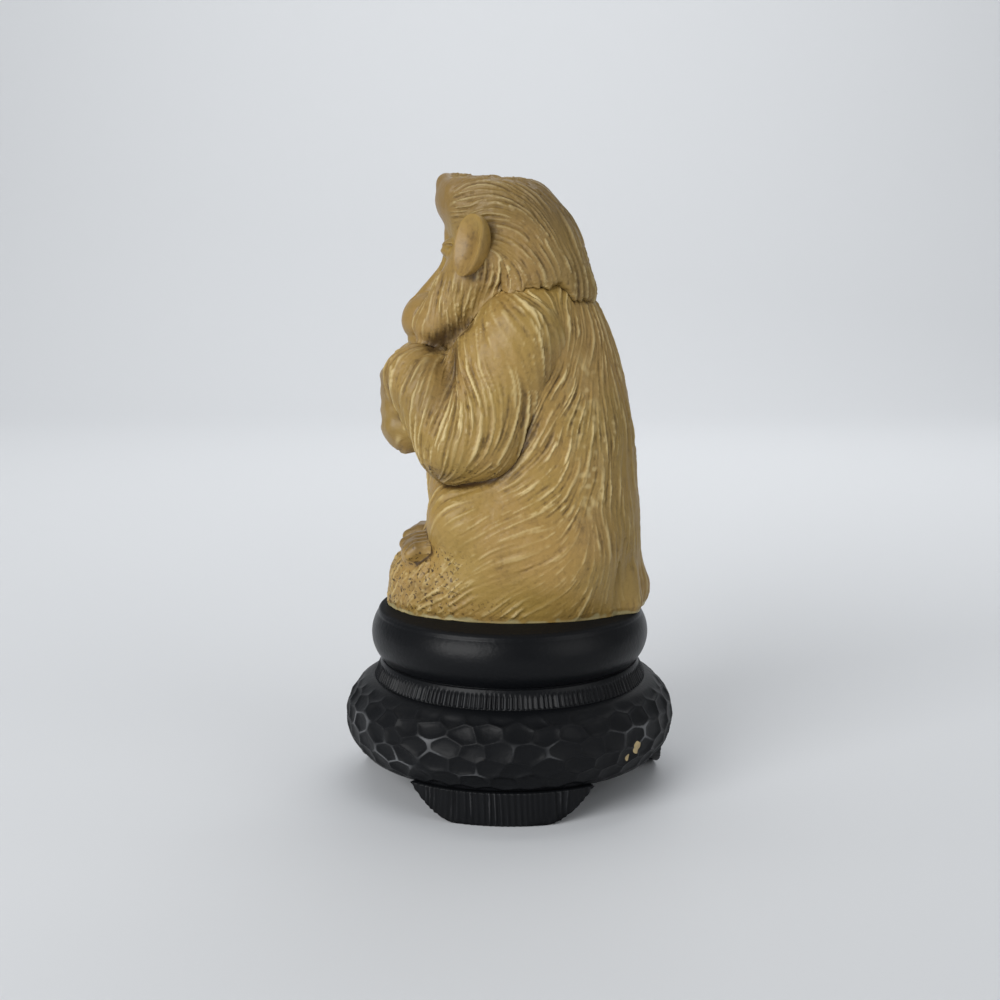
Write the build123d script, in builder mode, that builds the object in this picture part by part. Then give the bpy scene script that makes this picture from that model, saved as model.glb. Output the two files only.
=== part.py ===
"""A seated monkey figurine, cast in one piece, fixed by a screw to a round black stand on three feet.

Millimetres. Z is up, the stand rests on Z = 0 with its centre at the origin, and the monkey looks along -X.
"""

import os
from math import asin, cos, pi, radians, sin

from build123d import *

os.makedirs("parts", exist_ok=True)

# Figure, overall
FIGURE_HEIGHT = 72.0  # seat to crown
FIGURE_DEPTH = 45.8  # front of the hands to the tail
FIGURE_WIDTH = 36.0  # across the upper arms
SEAT_SETBACK = 0.9  # the figure's middle lies this far behind the stand's centre

# Figure, limbs and features: the radii of each limb's two rounded ends
SHOULDER_RADII = (7.0, 6.6)
UPPER_ARM_RADII = (6.7, 7.1)
ARM_FRONT_RADII = (5.0, 6.4)
FOREARM_RADII = (6.3, 5.4)
HAND_RADII = (4.5, 4.6)
FINGER_RADII = (1.6, 1.5)
FINGER_PITCH = 2.9
FINGER_COUNT = 4
HAUNCH_RADII = (8.8, 6.8)
SOLE_RADII = (2.8, 2.5)
TOE_RADII = (1.3, 1.2)
TOE_PITCH = 2.1
TOE_COUNT = 4
TAIL_RADII = (3.7, 3.5)
NOSE_RADII = (1.3, 1.5)
LIP_RADII = (1.5, 2.1)
MUZZLE_RADII = (4.4, 4.2)
CHIN_RADII = (2.8, 2.5)
CHEEK_RADII = (4.9, 4.2)
BROW_RADII = (2.3, 2.6)
CREST_RADII = (1.8, 2.2)
EYE_RADII = (1.4, 1.3)
EAR_HEIGHT = 9.8
EAR_WIDTH = 6.0
EAR_DEPTH = 5.0
EAR_HOLLOW_DEPTH = 1.3
EAR_LEAN = 10.0  # degrees, top of the ear to the back
EAR_OPENING = 20.0  # degrees, open face outwards from straight ahead

# Seat ring and its ribbed collar
RING_DIAMETER = 47.0
RING_HEIGHT = 9.0
RING_NECK_DIAMETER = 43.4
RING_RIM_DIAMETER = 45.2
RIM_ROUNDING = 1.0
COLLAR_HEIGHT = 3.0
COLLAR_TOP_DIAMETER = 44.2
COLLAR_BOTTOM_DIAMETER = 46.8
COLLAR_RIB_COUNT = 120
COLLAR_RIB_DEPTH = 0.45

# Pebbled drum
DRUM_DIAMETER = 56.5
DRUM_HEIGHT = 12.5
DRUM_TOP_DIAMETER = 47.2
DRUM_BOTTOM_DIAMETER = 50.8

# Bracket feet
FOOT_COUNT = 3
BRACKET_HEIGHT = 5.5
BRACKET_INSET = 1.75  # ribbed face in from the drum's widest line
BRACKET_DEPTH = 7.9  # ribbed face to the inner face
BRACKET_TOP_WIDTH = 29.6
BRACKET_BOTTOM_WIDTH = 13.4
BRACKET_BULGE_SHARE = 0.68  # of the widening, reached at half height
BRACKET_RIB_COUNT = 132
BRACKET_RIB_DEPTH = 0.45
TENON_DIAMETER = 4.0
TENON_HEIGHT = 2.6
TENON_CLEARANCE = 0.1

# Fixing screw
SCREW_DIAMETER = 4.0
SCREW_GRIP = 12.0  # length held in the figure
SCREW_HEAD_DIAMETER = 7.5
SCREW_HEAD_HEIGHT = 2.6
SCREW_SLOT_WIDTH = 1.0
SCREW_SLOT_DEPTH = 1.2
WASHER_DIAMETER = 9.0
WASHER_THICKNESS = 0.8
COUNTERBORE_DEPTH = 4.5
SCREW_CLEARANCE = 0.15
COUNTERBORE_CLEARANCE = 0.4

CUT_OVERRUN = 1.0

# Heights of the stack, from the table up
DRUM_BASE = BRACKET_HEIGHT
COLLAR_BASE = DRUM_BASE + DRUM_HEIGHT
RING_BASE = COLLAR_BASE + COLLAR_HEIGHT
SEAT_TOP = RING_BASE + RING_HEIGHT

WASHER_BASE = DRUM_BASE + COUNTERBORE_DEPTH - WASHER_THICKNESS
BRACKET_RADIUS = DRUM_DIAMETER / 2 - BRACKET_INSET
BRACKET_WAIST_WIDTH = BRACKET_BOTTOM_WIDTH + (BRACKET_TOP_WIDTH - BRACKET_BOTTOM_WIDTH) * BRACKET_BULGE_SHARE
# The tenons stand midway between the feet's inner face and the drum's lower edge
TENON_CIRCLE_RADIUS = (BRACKET_RADIUS - BRACKET_DEPTH + DRUM_BOTTOM_DIAMETER / 2) / 2
FIRST_FOOT_ANGLE = -93.5

# Places round the figure, as shares of its half depth, half width and height
# Torso sections: height, front, back, half width
TORSO_SHARES = [
    (0.000, -0.943, 0.956, 0.833),
    (0.056, -0.943, 0.952, 0.878),
    (0.097, -0.913, 0.943, 0.900),
    (0.125, -0.843, 0.939, 0.906),
    (0.153, -0.738, 0.934, 0.900),
    (0.194, -0.659, 0.930, 0.883),
    (0.319, -0.651, 0.900, 0.844),
    (0.444, -0.642, 0.856, 0.800),
    (0.556, -0.607, 0.777, 0.744),
    (0.646, -0.541, 0.686, 0.678),
    (0.722, -0.432, 0.581, 0.589),
    (0.778, -0.345, 0.511, 0.500),
]
# Head sections, from the hem of the hair up to the crown
HEAD_SHARES = [
    (0.720, -0.415, 0.572, 0.633),
    (0.736, -0.454, 0.581, 0.650),
    (0.785, -0.485, 0.546, 0.667),
    (0.833, -0.485, 0.498, 0.650),
    (0.882, -0.507, 0.437, 0.611),
    (0.931, -0.550, 0.341, 0.556),
    (0.964, -0.550, 0.240, 0.489),
    (0.986, -0.537, 0.162, 0.422),
]
# Limbs: the centres of the two rounded ends, as along, across and up
SHOULDER_SHARES = ((0.066, 0.422, 0.653), (-0.004, 0.489, 0.556))
UPPER_ARM_SHARES = ((0.026, 0.489, 0.633), (-0.223, 0.583, 0.411))
ARM_FRONT_SHARES = ((-0.210, 0.517, 0.576), (-0.362, 0.611, 0.417))
FOREARM_SHARES = ((-0.415, 0.622, 0.397), (-0.694, 0.389, 0.546))
HAND_SHARES = ((-0.777, 0.222, 0.431), (-0.782, 0.200, 0.528))
FINGER_SHARES = ((-0.852, 0.356, 0.490), (-0.917, 0.067, 0.483))
HAUNCH_SHARES = ((0.310, 0.467, 0.146), (-0.328, 0.533, 0.222))
SOLE_SHARES = ((-0.541, 0.400, 0.136), (-0.721, 0.378, 0.139))
TOE_SHARES = ((-0.703, 0.375, 0.161), (-0.777, 0.375, 0.149))
TAIL_SHARES = ((0.755, 0.000, 0.092), (0.847, 0.000, 0.044))
NOSE_SHARES = ((-0.450, 0.000, 0.864), (-0.463, 0.000, 0.794))
LIP_SHARES = ((-0.463, 0.000, 0.794), (-0.642, 0.000, 0.714))
MUZZLE_SHARES = ((-0.581, 0.000, 0.692), (-0.646, 0.000, 0.672))
CHIN_SHARES = ((-0.498, 0.000, 0.617), (-0.677, 0.000, 0.617))
CHEEK_SHARES = ((-0.214, 0.400, 0.806), (-0.546, 0.289, 0.658))
BROW_SHARES = ((-0.384, 0.356, 0.922), (-0.441, 0.067, 0.938))
CREST_SHARES = ((-0.489, 0.0, 0.975), (-0.214, 0.0, 0.957))
EYE_SHARES = ((-0.445, 0.206, 0.831), (-0.472, 0.206, 0.831))
EAR_SHARES = (-0.362, 0.644, 0.8375)
# Where the stand's curved sides are widest, as shares of their heights
RING_WIDEST_SHARE = 0.64
DRUM_WIDEST_SHARE = 0.44
EAR_HOLLOW_SHARE = 0.75
EAR_ROOT_SHARE = 0.55
SCREW_POINT_SHARE = 0.25


def spot(along, across, up):
    """The point at the given shares of the figure's half depth, half width and height."""
    return Vector(
        SEAT_SETBACK + along * FIGURE_DEPTH / 2,
        across * FIGURE_WIDTH / 2,
        SEAT_TOP + up * FIGURE_HEIGHT,
    )


def lofted(section_shares):
    """A body lofted through level ovals, each given by height, front, back and half width."""
    with BuildPart() as body:
        for up, front, back, half_width in section_shares:
            middle = spot((front + back) / 2, 0, up)
            with BuildSketch(Plane.XY.offset(middle.Z)):
                with Locations((middle.X, 0)):
                    Ellipse((back - front) / 2 * FIGURE_DEPTH / 2, half_width * FIGURE_WIDTH / 2)
        loft()
    return body.part


def limb(start, end, start_radius, end_radius):
    """A tapered limb with rounded ends: two arcs and their tangent line, turned about its axis."""
    axis = end - start
    length = axis.length
    slope = asin((start_radius - end_radius) / length)

    def rim(centre, radius, angle):
        return (centre + radius * cos(angle), radius * sin(angle))

    touch = pi / 2 - slope
    with BuildPart() as body:
        with BuildSketch(Plane(start, x_dir=axis, z_dir=axis.cross(axis + Vector(0, FIGURE_WIDTH, 0)))):
            with BuildLine():
                ThreePointArc(
                    (-start_radius, 0), rim(0, start_radius, (pi + touch) / 2), rim(0, start_radius, touch)
                )
                Line(rim(0, start_radius, touch), rim(length, end_radius, touch))
                ThreePointArc(
                    rim(length, end_radius, touch), rim(length, end_radius, touch / 2), (length + end_radius, 0)
                )
                Line((length + end_radius, 0), (-start_radius, 0))
            make_face()
        revolve(axis=Axis(start, axis))
    return body.part


def fluted(radius, depth, count):
    """The closed outline of a round bar with V-shaped flutes, as points for a polyline."""
    turns = [pi / count * i for i in range(2 * count)]
    radii = [radius, radius - depth] * count
    return [(r * cos(turn), r * sin(turn)) for r, turn in zip(radii, turns)]


def left_limb(shares, radii):
    """A limb on the monkey's left, which is the -Y side."""
    start, end = (spot(along, -across, up) for along, across, up in shares)
    return limb(start, end, *radii)


def left_row(shares, radii, count, step):
    """A row of digits on the left, each one step on from the one before, centred on the shares."""
    start, end = (spot(along, -across, up) for along, across, up in shares)
    offsets = [step * (i - (count - 1) / 2) for i in range(count)]
    return [limb(start + offset, end + offset, *radii) for offset in offsets]


# Ear: a cup on the left that narrows to its root in the head and opens forwards
outwards = Vector(sin(radians(EAR_OPENING)), -cos(radians(EAR_OPENING)), 0)
upwards = Vector(sin(radians(EAR_LEAN)), 0, cos(radians(EAR_LEAN)))
ear_plane = Plane(
    spot(EAR_SHARES[0], -EAR_SHARES[1], EAR_SHARES[2]), x_dir=outwards, z_dir=outwards.cross(upwards)
)
with BuildPart() as ear:
    with BuildSketch(ear_plane):
        Ellipse(EAR_WIDTH / 2, EAR_HEIGHT / 2)
    with BuildSketch(ear_plane.offset(-EAR_DEPTH)):
        Ellipse(EAR_WIDTH / 2 * EAR_ROOT_SHARE, EAR_HEIGHT / 2 * EAR_ROOT_SHARE)
    loft()
    with BuildSketch(ear_plane.offset(-EAR_HOLLOW_DEPTH)):
        Ellipse(EAR_WIDTH / 2 * EAR_HOLLOW_SHARE, EAR_HEIGHT / 2 * EAR_HOLLOW_SHARE)
    extrude(amount=EAR_HOLLOW_DEPTH, mode=Mode.SUBTRACT)

# Forms on the left that have a twin on the right
paired_forms = [
    left_limb(SHOULDER_SHARES, SHOULDER_RADII),
    left_limb(UPPER_ARM_SHARES, UPPER_ARM_RADII),
    left_limb(ARM_FRONT_SHARES, ARM_FRONT_RADII),
    left_limb(FOREARM_SHARES, FOREARM_RADII),
    left_limb(HAND_SHARES, HAND_RADII),
    *left_row(FINGER_SHARES, FINGER_RADII, FINGER_COUNT, Vector(0, 0, FINGER_PITCH)),
    left_limb(HAUNCH_SHARES, HAUNCH_RADII),
    left_limb(SOLE_SHARES, SOLE_RADII),
    *left_row(TOE_SHARES, TOE_RADII, TOE_COUNT, Vector(0, TOE_PITCH, 0)),
    left_limb(CHEEK_SHARES, CHEEK_RADII),
    left_limb(BROW_SHARES, BROW_RADII),
    left_limb(EYE_SHARES, EYE_RADII),
    ear.part,
]

# Figure: torso, head and limbs in one casting, flat underneath and bored for the screw
with BuildPart() as monkey_figure:
    add(lofted(TORSO_SHARES))
    add(lofted(HEAD_SHARES))
    add(left_limb(CREST_SHARES, CREST_RADII))
    add(left_limb(NOSE_SHARES, NOSE_RADII))
    add(left_limb(LIP_SHARES, LIP_RADII))
    add(left_limb(MUZZLE_SHARES, MUZZLE_RADII))
    add(left_limb(CHIN_SHARES, CHIN_RADII))
    add(left_limb(TAIL_SHARES, TAIL_RADII))
    for form in paired_forms:
        add(form)
        add(mirror(form, about=Plane.XZ, mode=Mode.PRIVATE))
    split(bisect_by=Plane.XY.offset(SEAT_TOP), keep=Keep.TOP)
    with BuildSketch(Plane.XY.offset(SEAT_TOP)):
        Circle(SCREW_DIAMETER / 2 + SCREW_CLEARANCE)
    extrude(amount=SCREW_GRIP + SCREW_CLEARANCE, mode=Mode.SUBTRACT)
monkey_figure.part.label = "monkey_figure"
export_step(monkey_figure.part, "parts/monkey_figure.step")

# Seat ring: a rounded ring with a flat seat, on a fluted and flared collar, with the screw's bore
with BuildPart() as seat_ring:
    with BuildSketch(Plane.XZ):
        with BuildLine():
            Polyline(
                (RING_RIM_DIAMETER / 2 - RIM_ROUNDING, SEAT_TOP),
                (0, SEAT_TOP),
                (0, RING_BASE),
                (RING_NECK_DIAMETER / 2, RING_BASE),
            )
            ThreePointArc(
                (RING_NECK_DIAMETER / 2, RING_BASE),
                (RING_DIAMETER / 2, RING_BASE + RING_HEIGHT * RING_WIDEST_SHARE),
                (RING_RIM_DIAMETER / 2, SEAT_TOP - RIM_ROUNDING),
            )
            RadiusArc(
                (RING_RIM_DIAMETER / 2, SEAT_TOP - RIM_ROUNDING),
                (RING_RIM_DIAMETER / 2 - RIM_ROUNDING, SEAT_TOP),
                -RIM_ROUNDING,
            )
        make_face()
    revolve(axis=Axis.Z)
    with BuildSketch(Plane.XY.offset(COLLAR_BASE)):
        with BuildLine():
            Polyline(*fluted(COLLAR_BOTTOM_DIAMETER / 2, COLLAR_RIB_DEPTH, COLLAR_RIB_COUNT), close=True)
        make_face()
    with BuildSketch(Plane.XY.offset(RING_BASE)):
        with BuildLine():
            Polyline(*fluted(COLLAR_TOP_DIAMETER / 2, COLLAR_RIB_DEPTH, COLLAR_RIB_COUNT), close=True)
        make_face()
    loft(ruled=True)
    with Locations((0, 0, SEAT_TOP)):
        Hole(SCREW_DIAMETER / 2 + SCREW_CLEARANCE)
seat_ring.part.label = "seat_ring"
export_step(seat_ring.part, "parts/seat_ring.step")

# Drum: a turned bulge, with sockets for the feet and a counterbored screw hole
with BuildPart() as pebbled_drum:
    with BuildSketch(Plane.XZ):
        with BuildLine():
            Polyline(
                (DRUM_TOP_DIAMETER / 2, COLLAR_BASE),
                (0, COLLAR_BASE),
                (0, DRUM_BASE),
                (DRUM_BOTTOM_DIAMETER / 2, DRUM_BASE),
            )
            ThreePointArc(
                (DRUM_BOTTOM_DIAMETER / 2, DRUM_BASE),
                (DRUM_DIAMETER / 2, DRUM_BASE + DRUM_HEIGHT * DRUM_WIDEST_SHARE),
                (DRUM_TOP_DIAMETER / 2, COLLAR_BASE),
            )
        make_face()
    revolve(axis=Axis.Z)
    with Locations(Plane.XY.offset(DRUM_BASE)):
        with PolarLocations(TENON_CIRCLE_RADIUS, FOOT_COUNT, start_angle=FIRST_FOOT_ANGLE):
            Cylinder(
                TENON_DIAMETER / 2 + TENON_CLEARANCE,
                TENON_HEIGHT + TENON_CLEARANCE,
                align=(Align.CENTER, Align.CENTER, Align.MIN),
                mode=Mode.SUBTRACT,
            )
    with BuildSketch(Plane.XY.offset(DRUM_BASE)):
        Circle(WASHER_DIAMETER / 2 + COUNTERBORE_CLEARANCE)
    extrude(amount=COUNTERBORE_DEPTH, mode=Mode.SUBTRACT)
    with Locations((0, 0, COLLAR_BASE)):
        Hole(SCREW_DIAMETER / 2 + SCREW_CLEARANCE)
pebbled_drum.part.label = "pebbled_drum"
export_step(pebbled_drum.part, "parts/pebbled_drum.step")

# Bracket foot: wide above and narrow below with rounded ends, its outer face ribbed, and a round tenon on top
with BuildPart() as bracket_foot:
    with BuildSketch(Plane.XY):
        with BuildLine():
            Polyline(*fluted(BRACKET_RADIUS, BRACKET_RIB_DEPTH, BRACKET_RIB_COUNT), close=True)
        make_face()
    extrude(amount=BRACKET_HEIGHT)
    with BuildSketch(Plane.YZ.offset(BRACKET_RADIUS - BRACKET_DEPTH)):
        with BuildLine():
            Line((-BRACKET_BOTTOM_WIDTH / 2, 0), (BRACKET_BOTTOM_WIDTH / 2, 0))
            Line((-BRACKET_TOP_WIDTH / 2, BRACKET_HEIGHT), (BRACKET_TOP_WIDTH / 2, BRACKET_HEIGHT))
            for side in (-1, 1):
                ThreePointArc(
                    (side * BRACKET_BOTTOM_WIDTH / 2, 0),
                    (side * BRACKET_WAIST_WIDTH / 2, BRACKET_HEIGHT / 2),
                    (side * BRACKET_TOP_WIDTH / 2, BRACKET_HEIGHT),
                )
        make_face()
    extrude(amount=BRACKET_DEPTH + CUT_OVERRUN, mode=Mode.INTERSECT)
    with Locations((TENON_CIRCLE_RADIUS, 0, BRACKET_HEIGHT)):
        Cylinder(TENON_DIAMETER / 2, TENON_HEIGHT, align=(Align.CENTER, Align.CENTER, Align.MIN))

FOOT_NAMES = ["stand_foot_left", "stand_foot_rear_right", "stand_foot_front_right"]
for turn, foot_name in enumerate(FOOT_NAMES):
    foot = bracket_foot.part.rotate(Axis.Z, FIRST_FOOT_ANGLE + turn * 360 / FOOT_COUNT)
    foot.label = foot_name
    export_step(foot, f"parts/{foot_name}.step")

# Washer, against the roof of the counterbore
with BuildPart() as screw_washer:
    with BuildSketch(Plane.XY.offset(WASHER_BASE)):
        Circle(WASHER_DIAMETER / 2)
        Circle(SCREW_DIAMETER / 2 + SCREW_CLEARANCE, mode=Mode.SUBTRACT)
    extrude(amount=WASHER_THICKNESS)
screw_washer.part.label = "screw_washer"
export_step(screw_washer.part, "parts/screw_washer.step")

# Screw: a slotted cheese head under the washer and a shank up into the figure
with BuildPart() as fixing_screw:
    with BuildSketch(Plane.XY.offset(WASHER_BASE - SCREW_HEAD_HEIGHT)):
        Circle(SCREW_HEAD_DIAMETER / 2)
    extrude(amount=SCREW_HEAD_HEIGHT)
    with BuildSketch(Plane.XY.offset(WASHER_BASE - SCREW_HEAD_HEIGHT)):
        Rectangle(SCREW_HEAD_DIAMETER + CUT_OVERRUN, SCREW_SLOT_WIDTH)
    extrude(amount=SCREW_SLOT_DEPTH, mode=Mode.SUBTRACT)
    with BuildSketch(Plane.XY.offset(WASHER_BASE)):
        Circle(SCREW_DIAMETER / 2)
    extrude(amount=SEAT_TOP + SCREW_GRIP - WASHER_BASE)
    chamfer(fixing_screw.edges().group_by(Axis.Z)[-1], SCREW_DIAMETER * SCREW_POINT_SHARE)
fixing_screw.part.label = "fixing_screw"
export_step(fixing_screw.part, "parts/fixing_screw.step")
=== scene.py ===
"""Looks of a carved monkey figurine on a round black stand, in metres and in the part's own frame."""

import math

import bpy
import numpy as np
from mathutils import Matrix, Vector


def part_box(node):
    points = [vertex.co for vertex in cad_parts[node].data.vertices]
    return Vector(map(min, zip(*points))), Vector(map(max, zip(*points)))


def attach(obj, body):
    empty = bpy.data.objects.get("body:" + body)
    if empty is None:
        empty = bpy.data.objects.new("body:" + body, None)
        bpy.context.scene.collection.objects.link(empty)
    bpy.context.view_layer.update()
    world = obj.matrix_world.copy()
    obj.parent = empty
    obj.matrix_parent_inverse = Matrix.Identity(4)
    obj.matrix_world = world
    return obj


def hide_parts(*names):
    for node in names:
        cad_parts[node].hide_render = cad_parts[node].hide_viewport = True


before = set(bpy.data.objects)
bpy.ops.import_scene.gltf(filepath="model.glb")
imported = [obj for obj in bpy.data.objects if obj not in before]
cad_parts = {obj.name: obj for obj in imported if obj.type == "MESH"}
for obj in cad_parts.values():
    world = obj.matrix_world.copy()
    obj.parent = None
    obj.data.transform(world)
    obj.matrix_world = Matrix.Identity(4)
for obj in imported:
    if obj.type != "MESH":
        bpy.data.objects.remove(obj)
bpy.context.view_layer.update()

MM = 0.001
RANDOM = np.random.default_rng(11)
LATTICE_SIZE = 64
LATTICE = RANDOM.random((LATTICE_SIZE,) * 3)

# Sizes read from the frame, in millimetres
SEAT_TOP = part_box("seat_ring")[1][2] / MM
COLLAR_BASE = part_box("seat_ring")[0][2] / MM
RING_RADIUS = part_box("seat_ring")[1][0] / MM
DRUM_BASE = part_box("pebbled_drum")[0][2] / MM
DRUM_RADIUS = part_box("pebbled_drum")[1][0] / MM

# Carving, in millimetres: wide locks under fine strokes, whose relief is a share of their width
GRID_STEP = 0.18
LOCK_WIDTH, LOCK_LENGTH, LOCK_RELIEF = 1.2, 10.0, 0.07
STROKE_LENGTH_IN_WIDTHS = 22
RIDGE_SHARE, GROOVE_SHARE = 0.68, 0.6
LONGEST_STEP = 0.8
SINK = 0.5
BODY_STROKE, HEAD_STROKE, ARM_STROKE = 0.30, 0.26, 0.32

# Meshes: rows below, along and above each spine, columns, and heights in millimetres where a grid is parted
BODY_ROWS, BODY_COLUMNS, BODY_PARTING = (1, 270, 40), 630, 60.4
HEAD_ROWS, HEAD_COLUMNS, HEAD_PARTING = (140, 70, 150), 500, 89.1
ARM_ROWS, ARM_COLUMNS = (84, 84, 84), 390

# Stand, in millimetres and degrees
STAND_COLUMNS = 1000
COLLAR_RADIUS, COLLAR_TOP_RADIUS, NECK_RADIUS, NECK_RISE = 23.3, 22.0, 21.6, 3.0
SEAT_EDGE_RADIUS, SEAT_RADIUS, RING_WIDEST_HEIGHT = 22.6, 21.6, 26.6
COLLAR_RIBS = 168
DRUM_BASE_RADIUS, DRUM_TOP_RADIUS, DRUM_WIDEST_RISE = 25.4, 23.6, 5.5
DRUM_ROWS, DRUM_FLOOR_ROWS, DRUM_RUN = 86, 5, 19.6
DISH_COLUMNS, DISH_PITCH, DISH_DEPTH = 37, 3.45, 0.62
FOOT_INNER, FOOT_OUTER, FOOT_EDGE = 18.6, 26.5, 0.5
FOOT_LOW_REACH, FOOT_HIGH_REACH, FOOT_FLARE = 14.7, 34.0, 0.55
FOOT_RIBS = 170

# Ears, in millimetres and degrees
EAR_ROWS, EAR_COLUMNS, EAR_RIM_SHARE = 70, 120, 0.45
EAR_X, EAR_OUT, EAR_Z = -6.5, 12.0, 90.3
EAR_OPENING, EAR_LEAN = 42, 10

# Colours
CREAM_WARM, CREAM_ROSY = (0.335, 0.218, 0.053, 1), (0.346, 0.214, 0.060, 1)
# The dark brown is patina in the hollows and painted shade in the creases; the brown wash is partly painted
# shade on the head and back
PATINA_AND_SHADE, RUBBED, BROWN_WASH_AND_SHADE = (0.065, 0.034, 0.009, 1), (0.62, 0.48, 0.22, 1), (0.145, 0.092, 0.033, 1)
SPECK, PALE_RIM = (0.055, 0.030, 0.010, 1), (0.42, 0.37, 0.19, 1)
BLACK, WORN_GREY, CHIPPED = (0.004, 0.0045, 0.0055, 1), (0.125, 0.128, 0.133, 1), (0.46, 0.36, 0.19, 1)
STEEL_GREY, FLOOR_GREY, SURROUND = (0.55, 0.55, 0.56, 1), (0.70, 0.715, 0.735, 1), (0.84, 0.87, 0.90, 1)

# Camera, in metres, millimetres of lens and degrees
CAMERA_PLACE, CAMERA_LENS, CAMERA_SENSOR, CAMERA_PITCH = (-0.00164, -0.23519, 0.08574), 50.4, 36.0, 9.15


# Fields and noise

def smooth(x, low, high):
    """Rises smoothly from 0 at low to 1 at high."""
    t = np.clip((x - low) / (high - low), 0, 1)
    return t * t * (3 - 2 * t)


def mix(a, b, t):
    """Goes from a at t 0 to b at t 1."""
    return a + (b - a) * t


def bell(distance, width):
    """Falls smoothly from 1 at distance 0 to almost nothing at twice the width, on both sides."""
    return np.exp(-np.square(distance / width))


def noise(points, cell):
    """Random values from -1 to 1 on a cubic lattice of that cell, blended smoothly in between."""
    place = points / cell
    base = np.floor(place).astype(int)
    part = place - base
    part = part * part * (3 - 2 * part)
    total = 0
    for corner in np.ndindex(2, 2, 2):
        index = np.moveaxis((base + corner) % LATTICE_SIZE, -1, 0)
        total = total + np.prod(np.where(corner, part, 1 - part), axis=-1) * LATTICE[tuple(index)]
    return 2 * total - 1


def curve(x, knots, values):
    """A smooth curve through the values at the knots: cubic pieces with slopes taken from the neighbours."""
    knots, values = np.asarray(knots, float), np.asarray(values, float)
    slopes = np.gradient(values, knots)
    i = np.clip(np.searchsorted(knots, x) - 1, 0, len(knots) - 2)
    width = knots[i + 1] - knots[i]
    t = np.clip((x - knots[i]) / width, 0, 1)
    rise = t * t * (3 - 2 * t)
    bend = t * (1 - t) * ((1 - t) * slopes[i] - t * slopes[i + 1]) * width
    return values[i] + (values[i + 1] - values[i]) * rise + bend


def join(a, b, blend):
    """The smaller of two distances, with the corner between them rounded over the blend length."""
    t = np.clip(0.5 + 0.5 * (b - a) / blend, 0, 1)
    return mix(b, a, t) - blend * t * (1 - t)


def cut(a, b, blend):
    """The first distance with the second form taken away, its edge rounded over the blend length."""
    return -join(-a, b, blend)


def limb(p, start, end, start_radius, end_radius):
    """Distance to a limb: from the nearest point of its axis, less a radius that tapers along it."""
    start, axis = np.array(start, float), np.subtract(end, start).astype(float)
    t = np.clip((p - start) @ axis / (axis @ axis), 0, 1)
    away = p - start - t[..., None] * axis
    return np.sqrt((away * away).sum(-1)) - mix(start_radius, end_radius, t)


def oval(p, centre, radii, lean=0.0):
    """Distance to an ellipsoid, near enough close to it, leaning backwards by some degrees."""
    q = p - np.array(centre, float)
    c, s = math.cos(math.radians(lean)), math.sin(math.radians(lean))
    q = np.stack([c * q[..., 0] - s * q[..., 2], q[..., 1], s * q[..., 0] + c * q[..., 2]], -1)
    near = np.sqrt(((q / radii) ** 2).sum(-1)) + 1e-9
    far = np.sqrt(((q / np.square(radii)) ** 2).sum(-1)) + 1e-9
    return near * (near - 1) / far


def lofted(p, sections, rounding):
    """Distance to a body of level ovals whose front, back and half width follow smooth curves over height."""
    height, front, back, half = (np.array(column) for column in zip(*sections))
    z = p[..., 2]
    low, high, wide = (curve(z, height, column) for column in (front, back, half))
    depth = (high - low) / 2
    across = np.sqrt(((p[..., 0] - (low + high) / 2) / depth) ** 2 + (p[..., 1] / wide) ** 2)
    side = (across - 1) * np.minimum(depth, wide)
    ends = np.maximum(z - height[-1], height[0] - z)
    return -join(-side, -ends, rounding)


# Form of the figure, in millimetres: it looks along -X and is alike on both sides

TORSO = [
    (24, -20.4, 22.6, 14.6), (30, -20.7, 22.8, 15.0), (34, -20.7, 22.7, 15.8), (37, -20.0, 22.5, 16.2),
    (39, -18.4, 22.4, 16.3), (41, -16.0, 22.3, 16.2), (44, -14.2, 22.2, 15.9), (53, -14.0, 21.5, 15.2),
    (62, -13.8, 20.5, 14.4), (70, -13.0, 18.7, 13.4), (76.5, -11.5, 16.6, 12.2), (82, -9.0, 14.2, 10.6),
    (86, -7.0, 12.6, 9.0),
]
SKULL = [
    (78.0, -6.0, 13.0, 10.2), (83.0, -9.5, 14.2, 11.7), (86.5, -10.2, 13.4, 12.0), (90.0, -10.2, 12.3, 11.7),
    (93.5, -10.7, 10.9, 11.0), (97.0, -11.7, 8.7, 10.0), (99.4, -11.7, 6.4, 8.8), (101.0, -11.4, 4.6, 7.6),
]
UPPER_ARM = ((1.5, 8.8, 75.6), (-4.2, 10.5, 59.6), 6.7, 7.1)
CHEEK = ((-4.0, 7.2, 88.0), (-11.6, 5.2, 77.4), 4.9, 4.2)
PIT = ((-12.2, 8.6, 74.4), (-7.0, 10.4, 77.4), 0, -0.5)
FOREARM = ((-8.6, 11.2, 58.6), (-15.0, 7.0, 69.3), 6.3, 5.4)


def sided(p):
    """The same point on the left half, with the distance from the middle plane counted positive."""
    return np.stack([p[..., 0], np.abs(p[..., 1]), p[..., 2]], -1)


def feet_form(q):
    """The bare feet, set on the front of the base: a short sole and toes side by side."""
    form = limb(q, (-11.5, 7.2, 39.8), (-15.6, 6.8, 40.0), 2.8, 2.5)
    for i in range(4):
        aside = 3.6 + 2.1 * i
        toe = limb(q, (-15.2, aside, 41.9 - 0.2 * i), (-17.4 + 0.35 * i, aside, 41.0 - 0.2 * i), 1.3, 1.15)
        form = join(form, toe, 0.35)
    return form


def trunk_form(p):
    """Base and torso with the haunches and the roots of the shoulders."""
    q = sided(p)
    form = lofted(p, TORSO, 2.0)
    form = join(form, limb(q, (8.0, 8.4, 40.5), (-6.6, 9.6, 46.0), 8.8, 6.8), 4.0)
    return join(form, limb(q, (2.4, 7.6, 77.0), (0.8, 8.8, 70.0), 7.0, 6.6), 4.0)


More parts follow.
